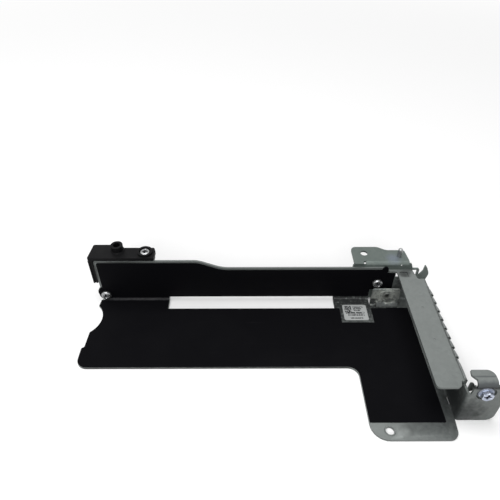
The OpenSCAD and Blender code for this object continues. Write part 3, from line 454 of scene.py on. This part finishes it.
spring = Finish("spring strip", Metallic=0.7)
dull = spring.noise(240.0, 3.0)
spring.wire(spring.blend(dull, (0.15, 0.163, 0.158), (0.22, 0.234, 0.23)), "Base Color")
spring.wire(spring.remap(dull, 0.2, 0.8, 0.42, 0.32), "Roughness")
spring.bump(spring.noise(3000.0, 2.0, 0.5, (1, 0.2, 1)), 0.1, 0.00002)
for piece in (strip, lug):
    piece.data.materials.append(spring.material)
    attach(piece, "root")
    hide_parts("contact_strip")

# ---------------------------------------------------------------------------------------
# Corner guide. Injection-moulded black plastic over the wall's corner: deck, leg, hollow
# post and screw collar, with moulded rounds on its edges and a fine eroded grain.
# ---------------------------------------------------------------------------------------
moulded = Finish("grained black plastic", Specular_IOR_Level=0.09)
worn = moulded.remap(moulded.noise(120.0, 4.0, 0.6), 0.4, 0.8, 0.0, 1.0)
moulded.wire(moulded.blend(worn, (0.0026, 0.0026, 0.0030), (0.0056, 0.0056, 0.0061)),
             "Base Color")
moulded.wire(moulded.remap(worn, 0.0, 1.0, 0.56, 0.46), "Roughness")
pores = moulded.add("ShaderNodeTexVoronoi", Vector=moulded.place, Scale=3400.0)
moulded.bump(pores.outputs["Distance"], 0.25, 0.00004)
guide = softened("corner_guide", "corner_guide_moulding", 0.00028, 3)
guide.data.materials.append(moulded.material)

# ---------------------------------------------------------------------------------------
# Pan-head screws. Cold-headed M3 machine screws, zinc plated: domed head with a punched cross
# recess and a rolled thread that shows past the nut.
# ---------------------------------------------------------------------------------------


def turned(name, radius, height, seat, axis, joined=False, hollow=None):
    """Closed surface turned about an axis. radius and height hold one row a step along the
    profile, from its lower end to its upper, and one column an angle a: a point lies at
    seat + radius * (cos a, sin a) across the axis + height * axis. The ends close on the
    axis, or on each other where the profile is joined into a ring. hollow says how deep in
    a recess each point is, held between 0 and 1, for the painted shade in the finish."""
    steps, around = radius.shape
    axis = np.array(axis, float)
    side = np.cross(axis, (0.3, 0.5, 0.8))
    side /= np.linalg.norm(side)
    other = np.cross(axis, side)
    angle = np.arange(around) * 2 * np.pi / around
    ray = np.cos(angle)[:, None] * side + np.sin(angle)[:, None] * other
    points = np.array(seat) + radius[..., None] * ray[None] + height[..., None] * axis
    rows = np.arange(steps * around).reshape(steps, around)
    following = np.roll(rows, -1, axis=1)
    if joined:
        upper, upper_next = np.roll(rows, -1, axis=0), np.roll(following, -1, axis=0)
        faces = np.stack([rows, following, upper_next, upper], -1).reshape(-1, 4).tolist()
        points = points.reshape(-1, 3)
    else:
        quads = np.stack([rows[:-1], following[:-1], following[1:], rows[1:]], -1)
        low = np.full(around, steps * around)
        fans = np.concatenate([np.stack([low, following[0], rows[0]], -1),
                               np.stack([rows[-1], following[-1], low + 1], -1)])
        faces = quads.reshape(-1, 4).tolist() + fans.tolist()
        ends = np.array(seat) + np.array([height[0].mean(), height[-1].mean()])[:, None] * axis
        points = np.concatenate([points.reshape(-1, 3), ends])
    mesh = bpy.data.meshes.new(name)
    mesh.from_pydata(points.tolist(), [], faces)
    if hollow is not None:
        shade = mesh.attributes.new("hollow", "FLOAT", "POINT")
        shade.data.foreach_set("value", np.append(np.clip(hollow, 0, 1).ravel(), (0, 1)))
    mesh.shade_smooth()
    mesh.set_sharp_from_angle(angle=math.radians(40))
    piece = bpy.data.objects.new(name, mesh)
    bpy.context.scene.collection.objects.link(piece)
    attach(piece, "root")
    return piece


def threaded(tip, base, crest, pitch, around):
    """Rows of radius and height for a rolled thread from its tip up to base: the radius
    follows a rounded wave of depth 0.6 pitch that climbs one pitch a turn, and shrinks
    over the first turn to a chamfered tip."""
    height = np.arange(tip, base, pitch / 6)[:, None] * np.ones(around)
    turn = np.arange(around)[None] / around
    wave = 0.5 + 0.5 * np.cos(2 * np.pi * (height / pitch - turn))
    chamfer = np.clip((height - tip) / pitch, 0, 1)
    return (crest - 0.6 * pitch * (1 - wave ** 0.7)) * (0.72 + 0.28 * chamfer), height


def recessed(radius, around, size, width, depth, turn):
    """Depth of a punched cross recess under each point of a head: the greatest of two bars,
    each the smaller of two slopes off its ends and its sides, and of a cone in the middle."""
    angle = np.arange(around)[None] * 2 * np.pi / around - turn
    x, y = np.abs(radius * np.cos(angle)), np.abs(radius * np.sin(angle))
    arms = [np.minimum((size / 2 - a) / (0.28 * size), (width / 2 - b) / (0.16 * width))
            for a, b in ((x, y), (y, x))]
    cone = (0.3 * size - np.hypot(x, y)) / (0.16 * size)
    return depth * np.clip(np.maximum.reduce(arms + [cone]), 0, 1)


def plated(name, dark, light, rough):
    """Plated steel: soft tarnish clouds over the colour, fine pits, painted shade in the hollows.
    """
    finish = Finish(name, Metallic=0.85)
    cloud = finish.noise(520.0, 4.0, 0.6)
    colour = finish.blend(finish.remap(cloud, 0.3, 0.7, 0.0, 1.0), dark, light)
    hollow_shade = finish.add("ShaderNodeAttribute", {"attribute_name": "hollow"}).outputs["Fac"]
    finish.wire(finish.blend(finish.maths("MULTIPLY", hollow_shade, 0.94), colour, (0.008, 0.008, 0.012)),
                "Base Color")
    rough_value = finish.remap(cloud, 0.2, 0.8, rough + 0.06, rough - 0.06)
    finish.wire(finish.maths("ADD", rough_value, finish.maths("MULTIPLY", hollow_shade, 0.3)),
                "Roughness")
    finish.bump(finish.noise(4200.0, 2.0), 0.12, 0.00002)
    return finish.material


around = 96              # points round a screw
full_shade_depth = 0.0006       # depth of recess at which its painted shade is darkest
thread_stop = 0.0012     # plain shank between the thread and the head
screw_steel = plated("plated screw steel", (0.24, 0.245, 0.25), (0.42, 0.425, 0.43), 0.24)


def pan_screw(node, direction, turn):
    """M3 pan-head screw in place of a CAD one. direction points out of the head. The head
    is a straight side, a quarter ellipse over its rim and a crown that falls as the square
    of the radius, less the recess, over a plain shank and a thread."""
    head_h, side_h, edge, crown_h = 0.002, 0.0008, 0.0011, 0.00015
    thread_crest, shank_r, pitch = 0.0015, 0.00128, 0.0005
    low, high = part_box(node)
    axis = np.array(direction, float)
    span = np.array(high - low)
    reach = np.abs(span @ axis) / 2
    top, tip = np.array((low + high) / 2) + axis * reach, -2 * reach
    head_r = max(np.delete(span, np.abs(axis).argmax())) / 2
    neck = -head_h - thread_stop
    thread_r, thread_h = threaded(tip + 0.0002, neck, thread_crest, pitch, around)
    under = np.array([[shank_r, neck], [shank_r, -head_h], [head_r - 0.0002, -head_h],
                      [head_r, -head_h + 0.0002], [head_r, -head_h + side_h]])
    arc = np.linspace(0, np.pi / 2, 9)[1:]
    rim = np.stack([head_r - edge * (1 - np.cos(arc)),
                    -head_h + side_h + (head_h - side_h - crown_h) * np.sin(arc)], -1)
    flat = np.linspace(1, 0.02, 34)[1:] * (head_r - edge)
    crown = np.stack([flat, -crown_h * (flat / (head_r - edge)) ** 2], -1)
    profile = np.concatenate([under, rim, crown])
    radius = np.concatenate([thread_r, profile[:, :1] * np.ones(around)])
    height = np.concatenate([thread_h, profile[:, 1:] * np.ones(around)])
    dome = slice(len(thread_r) + len(under), None)
    recess = recessed(radius[dome], around, 0.0038, 0.00115, 0.0013, turn)
    height[dome] -= recess
    hollow = np.zeros_like(height)
    hollow[dome] = recess / full_shade_depth
    piece = turned(node + "_pan_head", radius, height, top, axis, hollow=hollow)
    piece.data.materials.append(screw_steel)
    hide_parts(node)


pan_screw("board_screw_left", (0, -1, 0), 0.3)
pan_screw("board_screw_right", (0, -1, 0), 0.9)
pan_screw("guide_screw", (0, 0, 1), 0.5)

# ---------------------------------------------------------------------------------------
# Slot screw. Hexagon washer-head screw, blue-white zinc, that clamps the card's bracket to
# the end plate: pressed washer, chamfered hexagon, cross recess and a thread past its nut.
# ---------------------------------------------------------------------------------------
slot_low, slot_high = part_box("slot_screw")
slot_middle = (slot_low + slot_high) / 2
slot_top = (slot_middle.x, slot_low.y, slot_middle.z)
washer_r = (slot_high.z - slot_low.z) / 2
washer_h, hex_h, hex_r, hex_turn = 0.0009, 0.0022, 0.0031, 0.21
slot_shank_r, slot_crest, slot_pitch = 0.0015, 0.0017, 0.0006
head = washer_h + hex_h
neck = -head - thread_stop
thread_r, thread_h = threaded(slot_low.y - slot_high.y + 0.0002, neck, slot_crest, slot_pitch,
                              around)
washer = np.array([[slot_shank_r, neck], [slot_shank_r, -head], [washer_r - 0.0001, -head],
                   [washer_r, -head + 0.0002], [washer_r - 0.0001, -head + washer_h * 0.7],
                   [washer_r - 0.0003, -hex_h - 0.0001], [hex_r + 0.0005, -hex_h]])
# the hexagon's radius: its flats lie at cos 30 degrees of its corners, and a cone trims them
spread_angle = np.arange(around) * 2 * np.pi / around
hexagon = hex_r * 0.866 / np.cos((spread_angle + hex_turn) % (np.pi / 3) - np.pi / 6)
sides = np.array([-hex_h, -hex_h + 0.00015, -hex_h * 0.5, -0.0008, -0.0005, -0.0003, -0.00012,
                  0.0])[:, None]
trim = 0.00335 + (-sides - 0.0005) * 0.9
side_r = np.minimum(hexagon, trim)
top_r = np.linspace(0.97, 0.02, 36)[:, None] * side_r[-1]
recess = recessed(top_r, around, 0.0042, 0.0011, 0.0014, 0.35)
ones = np.ones(around)
radius = np.concatenate([thread_r, washer[:, :1] * ones, side_r, top_r])
height = np.concatenate([thread_h, washer[:, 1:] * ones, sides * ones, -recess])
# painted shade on the washer, a little over half as strong as in the deepest recess
hollow = np.zeros_like(radius)
hollow[len(thread_r):len(thread_r) + len(washer)] = 0.55
hollow[-len(recess):] = recess / full_shade_depth
slot_screw = turned("slot_screw_hex_washer", radius, height, slot_top, (0, -1, 0), hollow=hollow)
slot_screw.data.materials.append(
    plated("blue-white zinc", (0.36, 0.40, 0.49), (0.56, 0.60, 0.69), 0.36))
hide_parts("slot_screw")

# ---------------------------------------------------------------------------------------
# Clinch nuts. Turned steel nuts whose knurled shanks are pressed into the sheet from behind:
# round body, chamfered at both ends of its bore.
# ---------------------------------------------------------------------------------------
nut_steel = plated("clinch nut steel", (0.17, 0.175, 0.18), (0.27, 0.275, 0.28), 0.38)


def clinch_nut(node, out, bore=0.00156):
    """Clinch nut in place of a CAD one: a profile of shank, body and chamfers, joined into
    a ring through the bore and turned about the axis. out points from the sheet towards the
    free face, and bore is a radius."""
    low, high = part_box(node)
    axis = np.array(out, float)
    span = np.array(high - low)
    length = abs(span @ axis)
    body_r = max(np.delete(span, np.abs(axis).argmax())) / 2
    foot = np.array((low + high) / 2) - axis * length / 2
    shank_wall, body_h = 0.00066, 0.0022
    shank_r, shank_h = bore + shank_wall, length - body_h
    profile = np.array([[bore, 0.0001], [bore + 0.0001, 0], [shank_r - 0.0001, 0],
                        [shank_r, 0.0001], [shank_r, shank_h], [body_r - 0.0001, shank_h],
                        [body_r, shank_h + 0.0001], [body_r, length - 0.0003],
                        [body_r - 0.0003, length], [bore + 0.0004, length],
                        [bore, length - 0.0004]])
    ones = np.ones(64)
    piece = turned(node + "_clinched", profile[:, :1] * ones, profile[:, 1:] * ones, foot, axis,
                   joined=True)
    piece.data.materials.append(nut_steel)
    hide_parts(node)


clinch_nut("guide_nut", (0, 0, -1))
clinch_nut("board_nut_left", (0, 1, 0))
clinch_nut("board_nut_right", (0, 1, 0))
clinch_nut("slot_nut", (0, 1, 0), bore=0.00181)

# ---------------------------------------------------------------------------------------
# Bracket rivets. Soft steel rivets, countersunk flush under the film and set into a low dome
# behind the bracket's leg.
# ---------------------------------------------------------------------------------------
rivet_steel = plated("rivet steel", (0.19, 0.20, 0.20), (0.29, 0.30, 0.30), 0.42)
for side in ("left", "middle", "right"):
    node = "bracket_rivet_" + side
    low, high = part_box(node)
    head_r = (high.x - low.x) / 2
    length = high.y - low.y
    shank_r, dome_h, dome_edge = 0.0012, 0.0008, 0.00015
    set_from = length - dome_h
    arc = np.linspace(0, np.pi / 2, 10)[:-1]
    profile = np.concatenate([
        [[head_r - 0.00005, 0], [head_r, 0.00005], [shank_r, head_r - shank_r],
         [shank_r, set_from], [head_r - 0.00012, set_from]],
        np.stack([head_r * np.cos(arc),
                  set_from + dome_edge + (dome_h - dome_edge) * np.sin(arc)], -1)])
    ones = np.ones(64)
    rivet = turned(node + "_set", profile[:, :1] * ones, profile[:, 1:] * ones,
                   ((low.x + high.x) / 2, low.y, (low.z + high.z) / 2), (0, 1, 0))
    rivet.data.materials.append(rivet_steel)
    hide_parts(node)

# ---------------------------------------------------------------------------------------
# Guide pin. Turned steel pin with a round nose, its shank peened under the flange. Lathe
# marks run round it.
# ---------------------------------------------------------------------------------------
pin_low, pin_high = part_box("guide_pin")
pin_r = (pin_high.x - pin_low.x) / 2
pin_l = pin_high.z - pin_low.z
proud = 0.0063
shoulder = pin_l - proud
groove, groove_h = 0.0004, 0.0012
nose = np.linspace(0, np.pi / 2, 14)[:-1]
pin_profile = np.concatenate([
    [[pin_r - 0.0004, 0], [pin_r - 0.0002, 0.0001], [pin_r, 0.00045],
     [pin_r, shoulder - groove_h], [pin_r - groove, shoulder - groove_h],
     [pin_r - groove, shoulder], [pin_r - 0.0001, shoulder], [pin_r, shoulder + 0.0001],
     [pin_r, pin_l - pin_r - 0.0001]],
    np.stack([pin_r * np.cos(nose), pin_l - pin_r + pin_r * np.sin(nose)], -1)])
ones = np.ones(64)
pin = turned("guide_pin_turned", pin_profile[:, :1] * ones, pin_profile[:, 1:] * ones,
             ((pin_low.x + pin_high.x) / 2, (pin_low.y + pin_high.y) / 2, pin_low.z), (0, 0, 1))
bright = Finish("turned pin steel", Metallic=0.85)
lathe = bright.noise(5200.0, 1.0, 0.5, (0.02, 0.02, 1))
bright.wire(bright.blend(lathe, (0.24, 0.25, 0.25), (0.36, 0.37, 0.37)), "Base Color")
bright.wire(bright.remap(lathe, 0.3, 0.7, 0.36, 0.26), "Roughness")
bright.bump(lathe, 0.2, 0.00002)
pin.data.materials.append(bright.material)
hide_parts("guide_pin")

# ---------------------------------------------------------------------------------------
# Floor, lamps and camera. A pale table that fades into a white surround, a large soft lamp
# overhead and a weaker one in front. The floor looks pale and sends back little light.
# ---------------------------------------------------------------------------------------
table_mesh = bpy.data.meshes.new("table")
table_mesh.from_pydata([(-6, -6, 0), (6, -6, 0), (6, 6, 0), (-6, 6, 0)], [], [range(4)])
table = bpy.data.objects.new("table", table_mesh)
bpy.context.scene.collection.objects.link(table)
table.location.z = -0.0001
pale = Finish("pale table", Roughness=0.9, Specular_IOR_Level=0.0)
rays = pale.add("ShaderNodeLightPath")
shown_ray = pale.maths("MAXIMUM", rays.outputs["Is Camera Ray"], rays.outputs["Is Glossy Ray"])
reach = pale.add("ShaderNodeVectorMath", {"operation": "LENGTH"}, Vector=pale.place)
far_off = pale.remap(reach.outputs["Value"], 0.35, 1.0, 0.0, 1.0)
cloth = pale.blend(shown_ray, (0.22, 0.22, 0.22), (0.95, 0.95, 0.95))
pale.wire(pale.blend(far_off, cloth, (0, 0, 0)), "Base Color")
pale.shader.inputs["Emission Color"].default_value = (1, 1, 1, 1)
pale.wire(pale.maths("MULTIPLY", far_off, shown_ray), "Emission Strength")
table_mesh.materials.append(pale.material)

world = bpy.data.worlds.new("white surround")
bpy.context.scene.world = world
world.use_nodes = True
sky = world.node_tree
sky.nodes.clear()
path = sky.nodes.new("ShaderNodeLightPath")
seen = sky.nodes.new("ShaderNodeMath")
seen.operation = "MAXIMUM"
sky.links.new(path.outputs["Is Camera Ray"], seen.inputs[0])
sky.links.new(path.outputs["Is Glossy Ray"], seen.inputs[1])
seen_through = sky.nodes.new("ShaderNodeMath")
seen_through.operation = "MAXIMUM"
sky.links.new(seen.outputs[0], seen_through.inputs[0])
sky.links.new(path.outputs["Is Transmission Ray"], seen_through.inputs[1])
fill = sky.nodes.new("ShaderNodeBackground")
fill.inputs["Color"].default_value = (1, 1, 1, 1)
fill.inputs["Strength"].default_value = 0.18
shown = sky.nodes.new("ShaderNodeBackground")
shown.inputs["Color"].default_value = (1, 1, 1, 1)
shown.inputs["Strength"].default_value = 1.0
either = sky.nodes.new("ShaderNodeMixShader")
out = sky.nodes.new("ShaderNodeOutputWorld")
sky.links.new(seen_through.outputs[0], either.inputs[0])
sky.links.new(fill.outputs[0], either.inputs[1])
sky.links.new(shown.outputs[0], either.inputs[2])
sky.links.new(either.outputs[0], out.inputs["Surface"])


def softbox(name, place, aim, width, power):
    """Square soft lamp of a given width in metres, turned to face a point."""
    lamp = bpy.data.lights.new(name, "AREA")
    lamp.shape = "SQUARE"
    lamp.size = width
    lamp.energy = power
    held = bpy.data.objects.new(name, lamp)
    bpy.context.scene.collection.objects.link(held)
    held.location = place
    held.rotation_euler = (Vector(aim) - Vector(place)).to_track_quat("-Z", "Y").to_euler()
    return held


softbox("overhead softbox", (-0.35, 0.0, 2.0), (0, 0, 0), 1.7, 40.0)
softbox("front fill", (-0.25, -1.6, 1.0), (0, 0, 0), 1.0, 15.0)

camera = bpy.data.cameras.new("camera")
camera.lens = 34.36
camera.sensor_width = 36.0
camera.clip_start = 0.01
view = bpy.data.objects.new("camera", camera)
bpy.context.scene.collection.objects.link(view)
view.location = (-0.01345, -0.17535, 0.2277)
view.rotation_euler = (math.radians(49.386), 0, math.radians(-0.184))
bpy.context.scene.camera = view
bpy.context.scene.view_settings.view_transform = "Standard"
